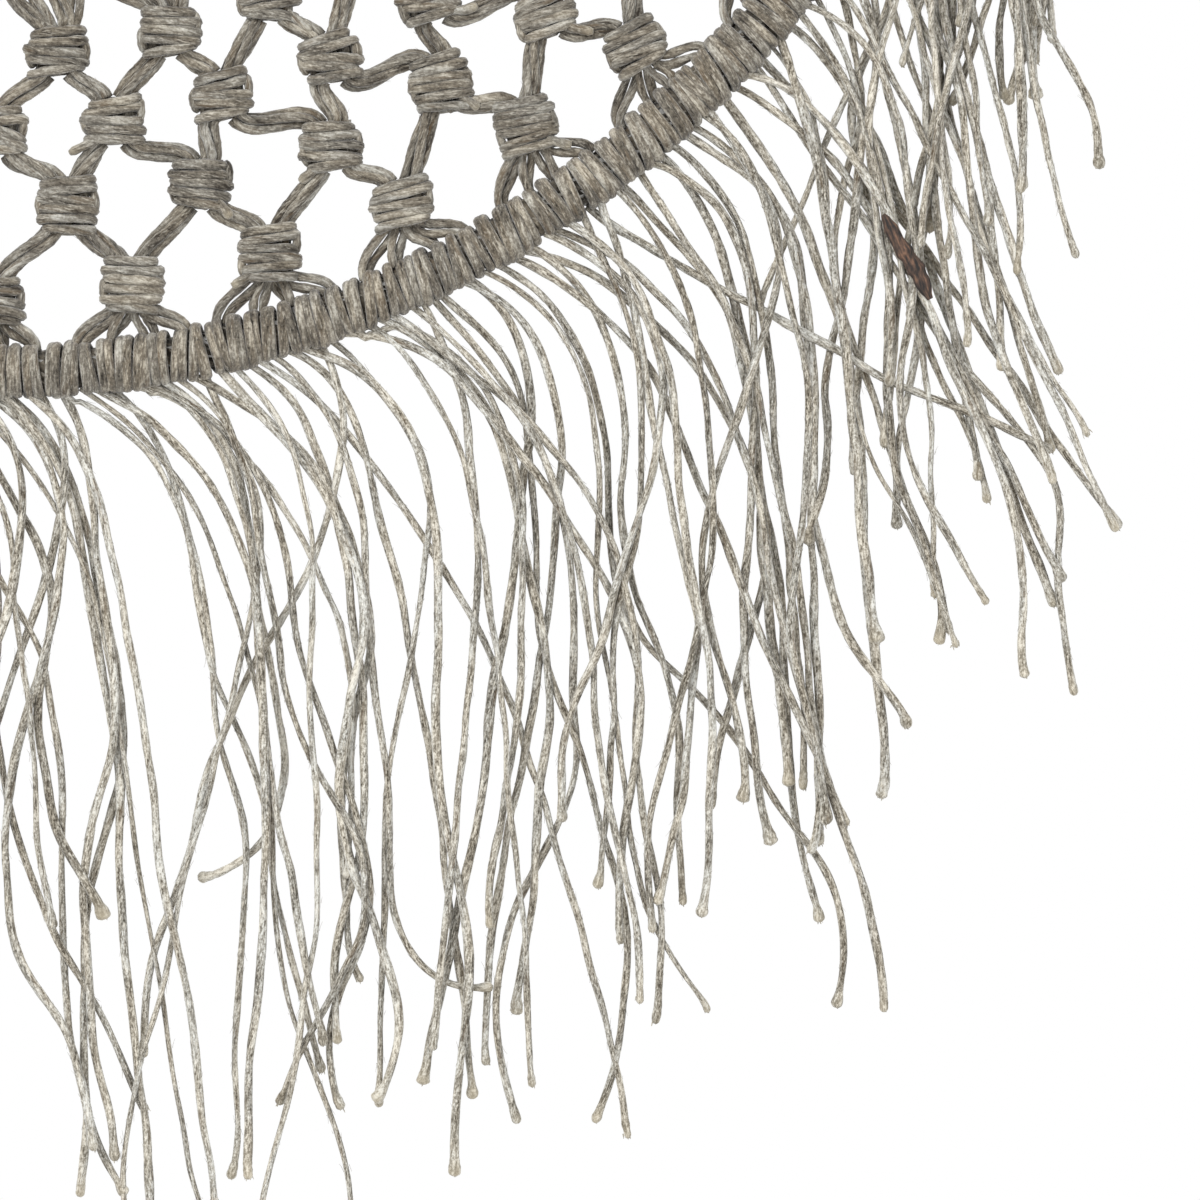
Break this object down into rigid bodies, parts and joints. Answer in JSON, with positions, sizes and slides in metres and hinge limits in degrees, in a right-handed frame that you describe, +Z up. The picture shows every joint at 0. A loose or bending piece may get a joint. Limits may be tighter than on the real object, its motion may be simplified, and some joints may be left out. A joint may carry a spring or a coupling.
{
  "type": "hanging macrame planter",
  "caption": "Hanging macrame planter: a twine-wrapped hoop with a knotted net and a long fringe, and a small pot in a knotted cradle at its middle.",
  "frame": {"origin": "inside top of the metal hanging ring, where a hook carries the object", "axes": "+Z up; the hoop stands in the XZ plane and its front faces -Y; +X to the right seen from the front"},
  "size_m": [0.4284, 0.098, 0.7975],
  "materials": {
    "twine": "matt grey-taupe two-ply linen or jute twine",
    "wrapped_twine": "the same twine wound tight, a little darker between the turns",
    "steel_wire": "plain steel wire",
    "ceramic_pot": "matt off-white stoneware"
  },
  "bodies": {
    "mount_ring": {"hanging_ring": "steel_wire"},
    "hanger": {"gathering_wrap": "wrapped_twine", "hanger_loop": "twine", "left_hanger_sinnet": "twine", "left_hoop_tie": "wrapped_twine", "right_hanger_sinnet": "twine", "right_hoop_tie": "wrapped_twine"},
    "hoop": {"fringe_01": "twine", "fringe_02": "twine", "fringe_03": "twine", "fringe_04": "twine", "fringe_05": "twine", "fringe_06": "twine", "fringe_07": "twine", "fringe_08": "twine", "fringe_09": "twine", "fringe_10": "twine", "hoop_core": "steel_wire", "hoop_wrap_01": "wrapped_twine", "hoop_wrap_02": "wrapped_twine", "hoop_wrap_03": "wrapped_twine", "hoop_wrap_04": "wrapped_twine", "hoop_wrap_05": "wrapped_twine", "hoop_wrap_06": "wrapped_twine", "hoop_wrap_07": "wrapped_twine", "hoop_wrap_08": "wrapped_twine", "hoop_wrap_09": "wrapped_twine", "hoop_wrap_10": "wrapped_twine", "inner_ring_core": "steel_wire", "inner_ring_wrap_01": "wrapped_twine", "inner_ring_wrap_02": "wrapped_twine", "inner_ring_wrap_03": "wrapped_twine", "inner_ring_wrap_04": "wrapped_twine", "inner_ring_wrap_05": "wrapped_twine", "inner_ring_wrap_06": "wrapped_twine", "net_panel_01": "twine", "net_panel_02": "twine", "net_panel_03": "twine", "net_panel_04": "twine", "net_panel_05": "twine", "net_panel_06": "twine", "net_panel_07": "twine", "net_panel_08": "twine", "net_panel_09": "twine", "net_panel_10": "twine", "net_panel_11": "twine", "net_panel_12": "twine", "net_panel_13": "twine", "net_panel_14": "twine"},
    "cradle": {"gathering_knot": "wrapped_twine", "left_back_leg": "twine", "left_cradle_tie": "wrapped_twine", "left_front_leg": "twine", "pot_basket": "twine", "right_back_leg": "twine", "right_cradle_tie": "wrapped_twine", "right_front_leg": "twine", "tassel": "twine"},
    "pot": {"pot": "ceramic_pot"}
  },
  "joints": [
    {"name": "hanger_swing", "type": "hinge", "parent": "mount_ring", "child": "hanger", "pos_m": [0, 0, -0.034], "axis": [1, 0, 0], "range_deg": [-20, 20]},
    {"name": "hoop_tilt", "type": "hinge", "parent": "hanger", "child": "hoop", "pos_m": [0, 0, -0.2194], "axis": [1, 0, 0], "range_deg": [-15, 15]},
    {"name": "cradle_tilt", "type": "hinge", "parent": "hoop", "child": "cradle", "pos_m": [0, 0, -0.31009], "axis": [1, 0, 0], "range_deg": [-12, 12]},
    {"name": "pot_lift", "type": "slide", "parent": "cradle", "child": "pot", "axis": [0, 0, 1], "range_m": [0, 0.055]}
  ]
}
